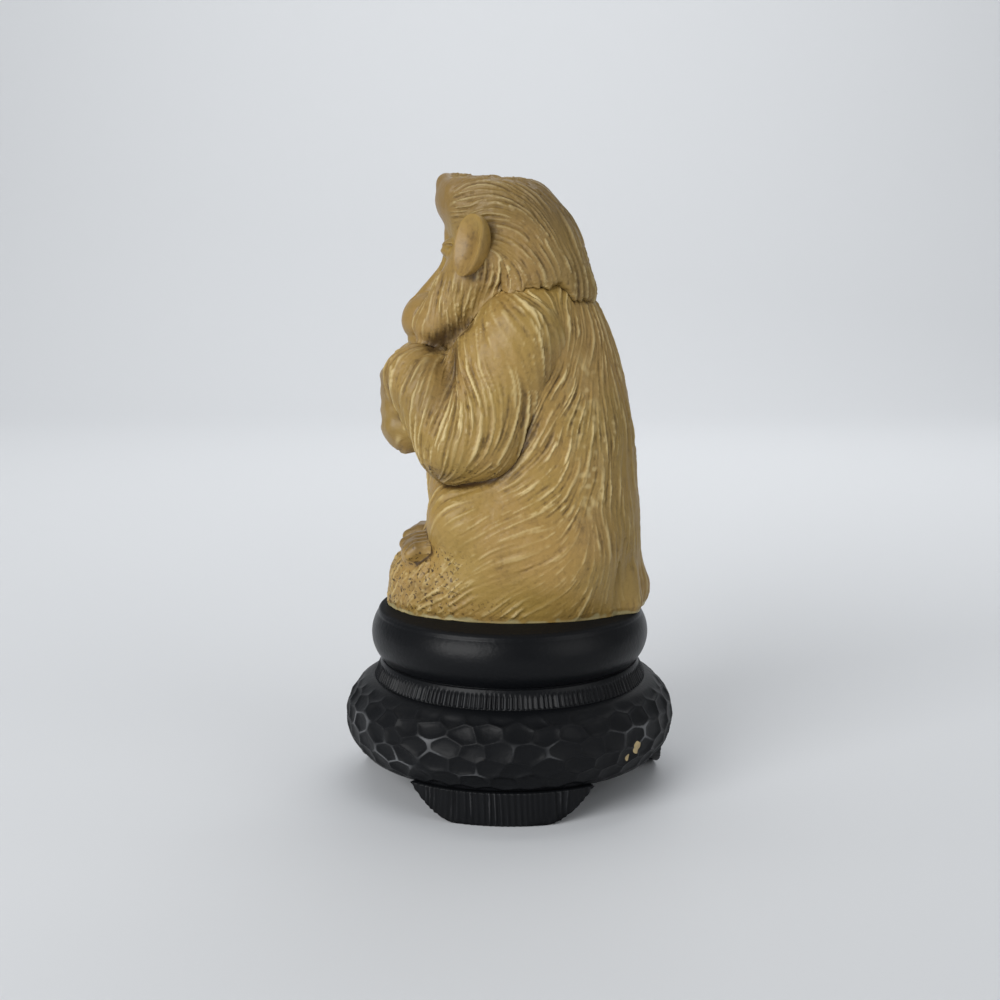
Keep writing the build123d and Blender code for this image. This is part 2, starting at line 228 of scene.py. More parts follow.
def body_form(p):
    """The trunk with feet and tail, cut flat at the seat."""
    form = join(trunk_form(p), feet_form(sided(p)), 0.6)
    form = join(form, limb(p, (18.2, 0, 36.6), (20.3, 0, 33.2), 3.6, 3.6), 2.0)
    form = join(form, limb(sided(p), (18.6, 6.0, 36.6), (19.3, 5.8, 31.5), 2.8, 2.9), 0.8)
    form = cut(form, limb(sided(p), (17.0, 10.9, 42.0), (18.5, 10.1, 29.0), 0.1, 1.0), 0.8)
    return np.maximum(form, SEAT_TOP - p[..., 2])


def hand_form(q):
    """The bare clasped hands: the backs of the hands with fingers laid across the front."""
    form = limb(q, (-16.6, 4.0, 61.0), (-16.7, 3.6, 68.0), 4.5, 4.6)
    for i in range(4):
        height = 60.4 + 2.9 * i
        finger = limb(q, (-18.8, 6.4, height + 0.7), (-20.2, 0.9, height), 1.55, 1.5)
        form = join(form, finger, 1.2)
    return form


def arm_form(p):
    """Upper arm, forearm and hand of one side."""
    q = sided(p)
    form = limb(q, *UPPER_ARM)
    form = join(form, limb(q, (-3.9, 9.3, 71.5), (-7.4, 11.0, 60.0), 5.0, 6.4), 2.0)
    form = join(form, limb(q, *FOREARM), 1.2)
    return join(form, hand_form(q), 0.7)


def muzzle_form(p):
    """The bare muzzle: a rounded upper lip over a smaller chin, with the mouth between them."""
    form = oval(p, (-13.6, 0, 78.9), (4.7, 5.0, 4.0), -38)
    return join(form, oval(p, (-12.8, 0, 74.6), (4.3, 4.2, 2.2), 10), 0.35)


def eye_form(q):
    """One eyeball."""
    return oval(q, (-9.55, 3.7, 89.8), (1.6, 1.7, 1.35))


def head_form(p):
    """Skull with its cap of hair, brow, eyes in their hollows, cheeks and muzzle."""
    q = sided(p)
    around = p / np.hypot(p[..., :1], p[..., 1:2]) * np.array([10, 10, 0])
    hem = 83.9 - 2.4 * smooth(p[..., 0], 5, 14) + 1.0 * noise(around + 40, 1.6) + 0.6 * noise(around, 0.7)
    form = -join(-lofted(p, SKULL, 1.6), p[..., 2] - hem, 0.8)
    form = join(form, limb(q, (-7.9, 5.0, 96.4), (-9.2, 0.0, 97.6), 2.1, 2.6), 2.2)
    form = join(form, limb(q, (-10.4, 0.0, 100.6), (-9.2, 4.8, 99.0), 1.2, 1.3), 1.0)
    form = join(form, limb(p, (-10.4, 0, 100.6), (-3.0, 0, 99.6), 1.2, 2.0), 1.4)
    form = join(form, limb(q, *CHEEK), 2.0)
    form = join(form, limb(q, (-4.5, 5.0, 86.0), (-9.0, 3.0, 76.0), 5.5, 4.5), 2.0)
    form = cut(form, oval(q, (-12.6, 4.0, 91.0), (2.8, 3.0, 2.5)), 1.2)
    slit = 0.45 - np.abs(q[..., 2] - 89.7 - 0.1 * q[..., 1])
    lids = np.maximum(oval(q, (-9.3, 3.7, 89.8), (2.0, 2.2, 1.8)), slit)
    form = join(join(form, eye_form(q), 0.2), lids, 0.5)
    form = join(form, limb(p, (-9.4, 0, 92.2), (-9.7, 0, 87.2), 1.3, 1.5), 1.2)
    form = join(form, limb(p, (-9.7, 0, 87.2), (-13.8, 0, 81.4), 1.5, 2.1), 1.0)
    form = join(form, muzzle_form(p), 0.2)
    return cut(form, oval(q, (-16.3, 1.2, 82.3), (1.3, 0.6, 0.6), 40), 0.4)


# Surfaces

def skin(form, foot, top, middle, reach, rows, columns):
    """Points where rays from an upright spine leave the form, met from outside.

    Row by row the rays fan up from straight below the spine's foot, climb the spine level, and fan
    over to straight above its top; column by column they go once round.
    """
    fan_low, climb, fan_high = rows
    tilt = np.concatenate([
        np.linspace(-90, 0, fan_low, endpoint=False), np.zeros(climb), np.linspace(0, 90, fan_high + 1)[1:],
    ])
    height = np.concatenate([np.full(fan_low, foot), np.linspace(foot, top, climb), np.full(fan_high, top)])
    tilt = np.radians(tilt)[:, None]
    turn = np.linspace(0, 2 * math.pi, columns, endpoint=False)[None, :]
    level = np.cos(tilt)
    ray = np.stack(np.broadcast_arrays(level * np.cos(turn), level * np.sin(turn), np.sin(tilt)), -1)
    start = np.zeros_like(ray)
    start[..., 0], start[..., 1], start[..., 2] = middle[0], middle[1], height[:, None]
    steps = np.linspace(reach, 0, 60)
    inner = np.zeros(ray.shape[:2])
    found = np.zeros(ray.shape[:2], bool)
    for t in steps:
        inside = ~found & (form(start + t * ray) < 0)
        inner[inside] = t
        found |= inside
    outer = inner + steps[0] - steps[1]
    for _ in range(9):
        centre = (inner + outer) / 2
        inside = form(start + centre[..., None] * ray) < 0
        inner = np.where(inside, centre, inner)
        outer = np.where(inside, outer, centre)
    return start + inner[..., None] * ray


def slopes(points):
    """The steps of a grid along its rows and columns, wrapping round each row, and its unit normals."""
    along = (np.roll(points, -1, 1) - np.roll(points, 1, 1)) / 2
    up = np.gradient(points, axis=0)
    normal = np.cross(along, up)
    normal /= np.linalg.norm(normal, axis=-1, keepdims=True) + 1e-12
    return along, up, normal


def sample(values, row, column):
    """Values of a grid at fractional rows and columns, wrapping round each row."""
    count_rows, count_columns = values.shape
    row = np.clip(row, 0, count_rows - 1.001)
    i, j = np.floor(row).astype(int), np.floor(column).astype(int)
    a, b = row - i, column - j
    j0, j1 = j % count_columns, (j + 1) % count_columns
    return mix(mix(values[i, j0], values[i, j1], b), mix(values[i + 1, j0], values[i + 1, j1], b), a)


def blurred(values, size):
    """The mean of a grid's values over a square of some steps each way, wrapping round each row."""
    steps = range(-size, size + 1, 2)
    across = sum(np.roll(values, step, 1) for step in steps) / len(steps)
    rows = np.arange(len(values))
    return sum(across[np.clip(rows + step, 0, len(rows) - 1)] for step in steps) / len(steps)


def strokes(points, flow, width, length, seed):
    """Carved strokes: noise of that width smeared along the flow, around 0 and with a spread of 1.

    From each point of the grid a path follows the flow both ways for half the length, and the noise
    met on the way is added up, so that the result is alike along the flow and rough across it. The
    local mean is taken off, so that no wide dabs are left.
    """
    along, up, normal = slopes(points)
    flow = flow - (flow * normal).sum(-1, keepdims=True) * normal
    flow = flow / (np.linalg.norm(flow, axis=-1, keepdims=True) + 1e-9)
    aa, bb, ab = (along * along).sum(-1), (up * up).sum(-1), (along * up).sum(-1)
    fa, fb = (flow * along).sum(-1), (flow * up).sum(-1)
    det = aa * bb - ab * ab + 1e-6
    turn_rate = np.clip((fa * bb - fb * ab) / det, -20, 20)
    climb_rate = np.clip((fb * aa - fa * ab) / det, -20, 20)
    grain = noise(points + seed, width)
    total = grain.copy()
    step = width * 0.6
    count = max(2, int(length / 2 / step))
    for sign in (1, -1):
        row, column = np.indices(grain.shape).astype(float)
        for _ in range(count):
            turn, climb = sample(turn_rate, row, column), sample(climb_rate, row, column)
            row = np.clip(row + sign * step * climb, 0, grain.shape[0] - 1)
            column = column + sign * step * turn
            total += sample(grain, row, column)
    total -= blurred(total, int(4 * width / GRID_STEP))
    return total / (1.48 * np.median(np.abs(total)))


def closed_mesh(name, points, values, sharp_row=None):
    """A mesh from a grid that closes round each row and shrinks to one point at its first and last row.

    Shading breaks along the sharp row, if one is given.
    """
    rows, columns = points.shape[:2]
    inner = points[1:-1].reshape(-1, 3)
    verts = np.concatenate([points[:1, :1].reshape(1, 3), inner, points[-1:, :1].reshape(1, 3)]) * MM
    i, j = np.meshgrid(np.arange(rows - 3), np.arange(columns), indexing="ij")
    right = (j + 1) % columns
    below, above = i * columns, (i + 1) * columns
    quads = 1 + np.stack([below + j, below + right, above + right, above + j], -1)
    ring = np.arange(columns)
    following = (ring + 1) % columns
    last = len(verts) - 1
    low_fan = np.stack([np.zeros(columns, int), 1 + following, 1 + ring], -1)
    top = 1 + (rows - 3) * columns
    high_fan = np.stack([top + ring, top + following, np.full(columns, last)], -1)
    loops = np.concatenate([low_fan.ravel(), quads.reshape(-1), high_fan.ravel()])
    totals = np.concatenate([np.full(columns, 3), np.full(quads[..., 0].size, 4), np.full(columns, 3)])
    mesh = bpy.data.meshes.new(name)
    mesh.vertices.add(len(verts))
    mesh.vertices.foreach_set("co", verts.astype(np.float32).ravel())
    mesh.loops.add(len(loops))
    mesh.loops.foreach_set("vertex_index", loops.astype(np.int32))
    mesh.polygons.add(len(totals))
    mesh.polygons.foreach_set("loop_start", np.concatenate([[0], np.cumsum(totals)[:-1]]).astype(np.int32))
    mesh.polygons.foreach_set("loop_total", totals.astype(np.int32))
    mesh.polygons.foreach_set("use_smooth", np.ones(len(totals), bool))
    for key, grid in values.items():
        grid = np.broadcast_to(grid, points.shape[:2])
        flat = np.concatenate([grid[:1, 0], grid[1:-1].ravel(), grid[-1:, 0]])
        mesh.attributes.new(key, "FLOAT", "POINT").data.foreach_set("value", flat.astype(np.float32))
    mesh.update(calc_edges=True)
    mesh.validate()
    if sharp_row is not None:
        ends = np.empty(2 * len(mesh.edges), np.int32)
        mesh.edges.foreach_get("vertices", ends)
        on_row = (ends - 1) // columns + 1 == sharp_row
        mesh.edges.foreach_set("use_edge_sharp", on_row.reshape(-1, 2).all(1))
    piece = bpy.data.objects.new(name, mesh)
    bpy.context.scene.collection.objects.link(piece)
    return piece


def hollows(points, normal, size):
    """How far each point lies below the mean of its neighbours within some grid steps, in millimetres."""
    total = 0
    for step in (-size, -size // 2, size // 2, size):
        total = total + np.roll(points, step, 1)
        rows = np.clip(np.arange(len(points)) + step, 0, len(points) - 1)
        total = total + points[rows]
    return ((total / 8 - points) * normal).sum(-1)


def carved(points, flow, bare, near, relief, width):
    """A carved skin and its marks: the grid moved along its normals by strokes that follow the flow.

    The flow is turned a little to and fro from place to place. Bare places stay smooth, near places
    are sunk and darkened with painted shade, relief scales the strokes and width sets how wide they are.
    """
    along, up, normal = slopes(points)
    stray = 0.35 * noise(points + 23, 4.6)[..., None]
    flow = flow + stray * np.cross(normal, flow)
    longest = np.sqrt(np.maximum((along * along).sum(-1), (up * up).sum(-1)))
    fur = (1 - bare) * smooth(LONGEST_STEP - longest, 0, 0.35)
    locks = strokes(points, flow, LOCK_WIDTH, LOCK_LENGTH, 3.1)
    lines = strokes(points, flow, width, STROKE_LENGTH_IN_WIDTHS * width, 17.7)
    relief = relief * (1 - 0.7 * near)
    strength = relief * np.clip(fur * (0.78 + 0.8 * noise(points, 3.9)), 0, 1.15)
    ridge, groove = smooth(lines, 0.4, 1.6), smooth(-lines, 0.4, 2.0)
    lift = strength * width * (RIDGE_SHARE * ridge - GROOVE_SHARE * groove)
    lift += fur * relief * LOCK_RELIEF * np.tanh(locks)
    lift += (0.05 + 0.05 * fur) * noise(points, 3.7) + 0.03 * noise(points, 1.1) - SINK * near
    points = points + lift[..., None] * normal
    hollow_patina_and_shade = hollows(points, slopes(points)[2], 9)
    return points, {
        "ridge": strength * ridge * smooth(locks, -2.2, 1.0),
        "groove": strength * np.clip(groove + 0.12 * smooth(-locks, 0.6, 2.2), 0, 1),
        "bare": bare,
        # Patina in the hollows, with painted shade added at the near places
        "hollow_patina_and_shade": np.clip(smooth(hollow_patina_and_shade, 0.12, 0.9) + near, 0, 1),
        "pits": near,
        "stain_and_shade": 0 * bare,
        "rim": 0 * bare,
    }


def parted(names, points, marks, height):
    """Two closed meshes from one dense grid, cut apart at the row nearest to the height at the back."""
    row = int(np.argmin(np.abs(points[:, 0, 2] - height)))
    pole = np.broadcast_to(points[row].mean(0), points[:1].shape)
    lower, upper = np.concatenate([points[:row + 1], pole]), np.concatenate([pole, points[row:]])
    low_marks = {key: np.concatenate([grid[:row + 1], grid[row:row + 1]]) for key, grid in marks.items()}
    high_marks = {key: np.concatenate([grid[row:row + 1], grid[row:]]) for key, grid in marks.items()}
    return [closed_mesh(names[0], lower, low_marks, row), closed_mesh(names[1], upper, high_marks, 1)]


def figure_body():
    """Trunk, feet and tail, with strokes that run down the back and sweep forward over the haunches."""
    points = skin(body_form, SEAT_TOP + 0.02, 83.0, (2.0, 0.0), 30.0, BODY_ROWS, BODY_COLUMNS)
    q = sided(points)
    x, z = q[..., 0], q[..., 2]
    sweep = np.radians(58) * smooth(20 - x, 0, 17) * mix(1.0, 0.5, smooth(z, 52, 66))
    sweep = mix(sweep, np.radians(-28), smooth(z, 70, 78) * smooth(10 - x, 0, 6))
    flow = np.stack([-np.sin(sweep), 0 * x, -np.cos(sweep)], -1)
    bare = smooth(0.9 - feet_form(q), 0, 0.8) * smooth(-12.5 - x, 0, 1.5)
    # Along the arm and under the hem of hair the trunk is sunk, and darkened with painted shade
    arm = arm_form(points)
    near = bell(arm, 0.9) * smooth(z, 44, 48) * smooth(68 - z, 0, 6)
    near = np.maximum(near, 0.7 * bell(head_form(points), 0.6))
    block = smooth(43.5 - z, 0, 3) * smooth(-x, 5, 11)
    relief = mix(1.0, 0.65, smooth(52 - z, 0, 8))
    made, marks = carved(points, flow, bare, near, relief, BODY_STROKE)
    rough = block * (1 - bare) * (0.22 * noise(points, 1.9) + 0.11 * noise(points, 0.55))
    made = made + rough[..., None] * slopes(points)[2]
    marks["pits"] = np.maximum(marks["pits"] + block, 0.6 * smooth(37 - z, 0, 5) * smooth(6 - x, 0, 12))
    crumbs = block * (1 - bare) * smooth(noise(points, 0.55), 0.25, 0.9)
    marks["ridge"] = np.maximum(marks["ridge"], 0.5 * crumbs)
    streak = bell(limb(points, (11.8, -11.6, 70.0), (12.6, -12.8, 49.0), 0, 0), 2.3)
    marks["ridge"] = np.maximum(marks["ridge"], 0.75 * streak * smooth(noise(points, 0.9), -0.1, 0.7))
    # Darker bare toes, and painted shade that darkens the back of the figure
    marks["stain_and_shade"] = np.maximum(0.65 * bare * smooth(z, 40, 42), 0.22 * smooth(x, 6, 20))
    marks["rim"] = smooth(0.5 + 0.7 * noise(points, 1.1) + SEAT_TOP - made[..., 2], -0.1, 0.25)
    return parted(("figure_haunches", "figure_torso"), made, marks, BODY_PARTING)


def figure_head():
    """Head with its cap of hair combed back, strokes down the cheeks, and a bare face and muzzle."""
    def form(p):
        head = head_form(p)
        most = 0.15 + 0.5 * smooth(13 - p[..., 0], 0, 8)
        return np.maximum(join(head, join(trunk_form(p), arm_form(p), 1.0), 1.5), head - most)

    points = skin(form, 84.0, 93.0, (-3.0, 0.0), 24.0, HEAD_ROWS, HEAD_COLUMNS)
    q = sided(points)
    x, z = q[..., 0], q[..., 2]
    combed = np.stack([z - 84, 0 * x, -(x + 5)], -1)
    combed /= np.linalg.norm(combed, axis=-1, keepdims=True)
    hanging = np.stack([0 * x - 0.15, 0 * x, 0 * x - 1], -1)
    cheek = smooth(90 - z, 0, 3) * smooth(1 - x, 0, 3)
    flow = mix(combed, hanging, cheek[..., None])
    face = smooth(mix(-7.2, -8.8, smooth(z, 91, 95)) - x, 0, 1.2) * smooth(z, 84, 87)
    lip = limb(q, *CHEEK) - muzzle_form(points)
    bare = np.maximum(face, smooth(lip, -0.3, 0.3))
    near = 0.9 * bell(lip + 0.1, 0.3) * smooth(84.5 - z, 0, 2)
    near = np.maximum(near, 0.5 * bell(eye_form(q), 0.25) * smooth(np.abs(z - 89.8), 0.3, 0.9))
    near = np.maximum(near, bell(limb(q, *PIT), 2.0))
    # The crease behind the ear is sunk and darkened with painted shade
    behind_ear = limb(q, (-3.4, 11.6, 93.5), (-5.6, 11.2, 85.6), 0, 0)
    near = np.maximum(near, 0.55 * bell(behind_ear, 1.1))
    made, marks = carved(points, flow, bare, near, 1.3, HEAD_STROKE)
    # Painted shade: the head darker overall and darker still towards the crown and the back
    marks["stain_and_shade"] = 0.18 + 0.36 * smooth(z, 90, 97) + 0.22 * smooth(x, -2, 6)
    return parted(("figure_head", "figure_crown"), made, marks, HEAD_PARTING)


def figure_arms():
    """Both arms: strokes that bend from the shoulder to the elbow and run down the forearm, and bare hands.

    The skin is met on one side and mirrored for the other; near the shoulder it flares into the trunk.
    """
    def form(p):
        arm = arm_form(p)
        soft = mix(0.7, 6.0, smooth(p[..., 2], 64, 76))
        most = 1.3 * smooth(p[..., 2], 60, 72)
        return np.maximum(np.maximum(join(arm, trunk_form(p), soft), arm - most), p[..., 1])

    left = skin(form, 59.5, 73.0, (-8.5, -8.0), 22.0, ARM_ROWS, ARM_COLUMNS)
    made = []
    for name, points in (("left", left), ("right", left[:, ::-1] * np.array([1, -1, 1]))):
        q = sided(points)
        x, z = q[..., 0], q[..., 2]
        forward = smooth(limb(q, *UPPER_ARM) - limb(q, *FOREARM), -1.5, 2.5)
        lean = np.radians(curve(z, (50, 55, 62, 70, 80), (-50, -38, -10, 16, 32)))
        lean = mix(lean, np.radians(-24), forward)
        flow = np.stack([np.sin(lean), 0 * x, -np.cos(lean)], -1)
        bare = smooth(limb(q, *FOREARM) - hand_form(q), 0.0, 0.6) * smooth(-18.0 - x, 0, 1.0)
        # The elbow fold, the pit and the hem's edge are sunk and darkened with painted shade
        fold = limb(q, (-9.9, 11.5, 75.0), (-9.4, 13.5, 67.5), 0, 0)
        near = mix(0.5, 1.0, smooth(z, 68, 73)) * bell(fold, 1.5)
        near = np.maximum(near, 0.9 * bell(limb(q, *PIT), 1.8))
        near = np.maximum(near, 0.6 * bell(head_form(points), 0.6))
        skin_points, marks = carved(points, flow, bare, near, 1.0, ARM_STROKE)
        crust = smooth(noise(points, 3.0), -0.1, 0.6)
        elbow = smooth(57.5 - z, 0, 3)
        crusted = forward * (0.08 + 0.25 * crust * smooth(z, 60, 68))
        marks["stain_and_shade"] = 0.06 + crusted + 0.2 * bare + 0.4 * crust * elbow
        marks["pits"] = np.maximum(marks["pits"], 0.7 * elbow)
        made.append(closed_mesh(f"figure_arm_{name}", skin_points, marks))
    return made


def figure_ear(side):
    """One ear: a shallow cup that opens forwards and outwards, with a rounded back let into the head.

    Rows go from the middle of the dished face over the rim to the middle of the back.
    """
    rows, columns, rim = EAR_ROWS, EAR_COLUMNS, EAR_RIM_SHARE
    turn = np.linspace(0, 2 * math.pi, columns, endpoint=False)[None, :]
    share = np.linspace(0, 1, rows)[:, None]
    front = share < rim
    spread = np.sin(math.pi / 2 * np.where(front, share / rim, (1 - share) / (1 - rim)))
    hollow = np.clip(1 - spread ** 2, 0, 1)
    depth = np.where(front, 0.5 - 1.1 * hollow ** 1.5, -3.6 * np.sqrt(hollow) * (1 - 0.2 * np.sin(turn)))
    wide = spread * np.cos(turn) * (3.0 + 0.35 * np.sin(turn))
    tall = np.sign(np.sin(turn)) * spread * np.abs(np.sin(turn)) ** 0.85 * 4.9
    opening, lean = math.radians(EAR_OPENING), math.radians(EAR_LEAN)
    x = EAR_X - depth * math.cos(opening) + wide * math.sin(opening) + tall * math.sin(lean)
    out = EAR_OUT + depth * math.sin(opening) + wide * math.cos(opening)
    points = np.stack(np.broadcast_arrays(x, side * out, EAR_Z + tall * math.cos(lean)), -1)
    if side < 0:
        points = points[:, ::-1]
    still = np.zeros(points.shape[:2])
    # The middle of the dished face is darker: patina and painted shade in the hollow
    hollow_patina_and_shade = 0.35 * smooth(1 - spread, 0.25, 0.8) * front
    return closed_mesh(f"figure_ear_{'left' if side < 0 else 'right'}", points, {
        "ridge": still, "groove": still, "bare": still + 1, "pits": still, "rim": still, "hollow_patina_and_shade": still + hollow_patina_and_shade,
        "stain_and_shade": still + 0.1,
    })


# Shading

class Value:
    """A shader socket that can be added, subtracted, multiplied and mixed like a number or a colour."""

    def __init__(self, tree, socket):
        self.tree, self.socket = tree, socket

    def node(self, kind, inputs, output=0, **settings):
        """The output of a new node of that kind; its inputs are values or constants."""
        made = self.tree.nodes.new(kind)
        for key, value in settings.items():
            setattr(made, key, value)
        for key, value in inputs.items():
            if isinstance(value, Value):
                self.tree.links.new(value.socket, made.inputs[key])
            else:
                made.inputs[key].default_value = value
        return Value(self.tree, made.outputs[output])

    def math(self, operation, other=0.0, third=0.0):
        return self.node("ShaderNodeMath", {0: self, 1: other, 2: third}, operation=operation)

    def __add__(self, other):
        return self.math("ADD", other)

    __radd__ = __add__

    def __mul__(self, other):
        return self.math("MULTIPLY", other)

    __rmul__ = __mul__

    def __sub__(self, other):
        return self.math("SUBTRACT", other)

    def __rsub__(self, other):
        return self.node("ShaderNodeMath", {0: other, 1: self}, operation="SUBTRACT")

    def ramp(self, low, high):
        """Rises smoothly from 0 at low to 1 at high."""
        return self.node("ShaderNodeMapRange", {"Value": self, "From Min": low, "From Max": high},
                         interpolation_type="SMOOTHSTEP")

    def blend(self, a, b):
        """The colour that goes from a to b as this value goes from 0 to 1."""
        return self.node("ShaderNodeMix", {0: self, 6: a, 7: b}, 2, data_type="RGBA")


class Material:
    """A node material with one surface shader, whose inputs take values or constants."""

    def __init__(self, name):
        self.made = bpy.data.materials.new(name)
        self.made.use_nodes = True
        self.tree = self.made.node_tree
        self.shader = self.tree.nodes["Principled BSDF"]
        self.root = Value(self.tree, None)

    def attribute(self, name):
        """A number stored on the mesh's points."""
        return self.root.node("ShaderNodeAttribute", {}, 2, attribute_name=name)

    def grain(self, size, detail=3.0):
        """Soft noise around 0.5 with features of that size in metres."""
        place = self.root.node("ShaderNodeTexCoord", {}, 3)
        return self.root.node("ShaderNodeTexNoise", {"Vector": place, "Scale": 1 / size, "Detail": detail})

    def bump(self, height, distance):
        """A normal tilted by the height, which stands for that distance in metres."""
        return self.root.node("ShaderNodeBump", {"Height": height, "Distance": distance})

    def set(self, **inputs):
        for key, value in inputs.items():
            socket = self.shader.inputs[key.replace("_", " ")]
            if isinstance(value, Value):
                self.tree.links.new(value.socket, socket)
            else:
                socket.default_value = value
        return self.made


def resin():
    """Cream cast resin: brown patina in lines and hollows with painted shade in the creases, a brown wash
    that also paints shade over the crown and back, pale rubbed ridges, dark pits and a pale rim.
    """
    m = Material("cream_resin")
    ridge, groove, hollow_patina_and_shade = m.attribute("ridge"), m.attribute("groove"), m.attribute("hollow_patina_and_shade")
    cloud = m.grain(0.009)
    mottle = m.grain(0.0008).ramp(0.4, 0.75)
    # Darkening from lines, hollows and creases: brown patina, and painted shade where creases and overhangs
    # fall dark
    dark = groove * 0.40 + hollow_patina_and_shade * 0.9 + cloud.ramp(0.45, 0.75) * 0.22 + mottle * 0.25
    pale = m.grain(0.013).ramp(0.35, 0.65).blend(CREAM_WARM, CREAM_ROSY)
    body = dark.ramp(0.0, 1.0).blend(pale, PATINA_AND_SHADE)
    colour = (ridge * (1 - hollow_patina_and_shade)).blend(body, RUBBED)
    # Brown wash: stains and crust on the arms and darker toes, and painted shade on the head, crown and back
    colour = m.attribute("stain_and_shade").blend(colour, BROWN_WASH_AND_SHADE)
    specks = m.grain(0.0005, 1.0).ramp(0.61, 0.66) + m.grain(0.0011, 1.0).ramp(0.66, 0.70)
    colour = (specks * m.attribute("pits") * 0.85).blend(colour, SPECK)
    colour = (m.attribute("rim") * 0.7).blend(colour, PALE_RIM)
    rough = 0.46 + groove * 0.15 + m.attribute("bare") * -0.06
    fine = m.grain(0.0006, 2.0)
    return m.set(Base_Color=colour, Roughness=rough, Normal=m.bump(fine, 0.00006), Specular_IOR_Level=0.4)


def black_paint(name, roughness):
    """Black paint on resin: rubbed grey on ridges, dull on the seat, with chips down to the cream below."""
    m = Material(name)
    wear, chip = m.attribute("wear"), m.attribute("chip")
    cloud = m.grain(0.006)
    worn = wear.ramp(0.2, 1.0) * cloud.ramp(0.35, 0.65)
    colour = worn.blend(BLACK, WORN_GREY)
    colour = chip.ramp(0.45, 0.6).blend(colour, CHIPPED)
    fine = m.grain(0.0007, 2.0)
    rough = roughness + 0.12 * cloud + 0.4 * m.attribute("dull")
    return m.set(Base_Color=colour, Roughness=rough, Normal=m.bump(fine, 0.00004), Specular_IOR_Level=0.16)


def steel():
    """Plain steel with fine turning marks."""
    m = Material("screw_steel")
    fine = m.grain(0.0004, 2.0)
    return m.set(Base_Color=STEEL_GREY, Metallic=1.0, Roughness=0.30 + 0.2 * fine)


# Stand

def turned(profile, columns):
    """Points on a surface of revolution: the profile's radii and heights carried once round the Z axis."""
    radius, height = (np.array(column)[:, None] for column in zip(*profile))
    turn = np.linspace(0, 2 * math.pi, columns, endpoint=False)[None, :]
    return np.stack(np.broadcast_arrays(radius * np.cos(turn), radius * np.sin(turn), height), -1)


def line(start, end, count):
    """Points from start up to, but without, the end."""
    return [tuple(mix(np.array(start, float), np.array(end, float), i / count)) for i in range(count)]


def arc(start, through, end, count):
    """Points of the circle through three points, from the first up to, but without, the last."""
    (ax, ay), (bx, by), (cx, cy) = start, through, end
    d = 2 * (ax * (by - cy) + bx * (cy - ay) + cx * (ay - by))
    a, b, c = ax * ax + ay * ay, bx * bx + by * by, cx * cx + cy * cy
    mx = (a * (by - cy) + b * (cy - ay) + c * (ay - by)) / d
    my = (a * (cx - bx) + b * (ax - cx) + c * (bx - ax)) / d
    first, middle, last = (math.atan2(y - my, x - mx) for x, y in (start, through, end))
    spread = np.unwrap([first, middle, last])
    radius = math.hypot(ax - mx, ay - my)
    angles = np.linspace(spread[0], spread[2], count, endpoint=False)
    return [(mx + radius * math.cos(t), my + radius * math.sin(t)) for t in angles]


def seat_ring():
    """Smooth ring with a flat seat, on a flared collar with hand-cut upright ribs."""
    neck = COLLAR_BASE + NECK_RISE
    collar_foot, collar_top = (COLLAR_RADIUS, COLLAR_BASE), (COLLAR_TOP_RADIUS, neck)
    neck_end = (NECK_RADIUS, neck + 0.05)
    edge, seat = (SEAT_EDGE_RADIUS, SEAT_TOP - 1.0), (SEAT_RADIUS, SEAT_TOP)
    profile = (
        line((0, COLLAR_BASE), collar_foot, 6) + line(collar_foot, collar_top, 22)
        + line(collar_top, neck_end, 3)
        + arc(neck_end, (RING_RADIUS - 0.06, RING_WIDEST_HEIGHT), edge, 46)
        + arc(edge, (SEAT_EDGE_RADIUS - 0.3, SEAT_TOP - 0.3), seat, 8)
        + line(seat, (0, SEAT_TOP), 8) + [(0, SEAT_TOP)]
    )
    points = turned(profile, STAND_COLUMNS)
    turn = np.linspace(0, 2 * math.pi, STAND_COLUMNS, endpoint=False)
    place = np.stack([23 * np.cos(turn), 23 * np.sin(turn), 0 * turn], -1)
    ribs = np.cos(COLLAR_RIBS * turn + 2.6 * noise(place, 1.7))
    depth = 0.20 + 0.10 * noise(place, 3.0)
    z = points[..., 2]
    collar = smooth(z, COLLAR_BASE - 0.01, COLLAR_BASE + 0.25) * smooth(neck - z, 0.4, 1.4)
    lift = collar * (ribs * depth - 0.15)[None, :] + (z > neck) * 0.09 * noise(points, 7.0)
    points[..., :2] *= (1 + lift / np.maximum(np.hypot(points[..., 0], points[..., 1]), 5.0))[..., None]
    wear = collar * smooth(ribs[None, :], 0.2, 1.0) * 0.5
    dull = smooth(z, SEAT_TOP - 0.4, SEAT_TOP - 0.05)
    return closed_mesh("stand_ring", points, {"wear": wear, "chip": 0 * z, "dull": dull})


def cells(around, up, columns, pitch):
    """Distances to the nearest two centres of irregular six-sided cells, and a random number for each cell.

    Cell centres stand in staggered rows, each moved a little at random; the border lies where the
    two nearest centres are equally far.
    """
    rows = 12
    shift = RANDOM.uniform(-0.2, 0.2, (rows, columns, 2))
    mark = RANDOM.random((rows, columns))
    width = 2 * math.pi * DRUM_RADIUS / columns
    first = np.full(around.shape, 1e9)
    second = first.copy()
    owner = np.zeros(around.shape)
    row0 = np.floor(up / pitch).astype(int)
    for dr in (-1, 0, 1, 2):
        row = row0 + dr
        offset = (row % 2) / 2
        column0 = np.round(around / width - offset).astype(int)
        for dc in (-1, 0, 1):
            column = column0 + dc
            moved = shift[row % rows, column % columns]
            away_x = around - (column + offset + moved[..., 0]) * width
            away_y = up - (row + moved[..., 1]) * pitch
            away = np.hypot(away_x, away_y * width / pitch * 0.92)
            closer = away < first
            second = np.where(closer, first, np.minimum(second, away))
            owner = np.where(closer, mark[row % rows, column % columns], owner)
            first = np.where(closer, away, first)
    return first, second, owner


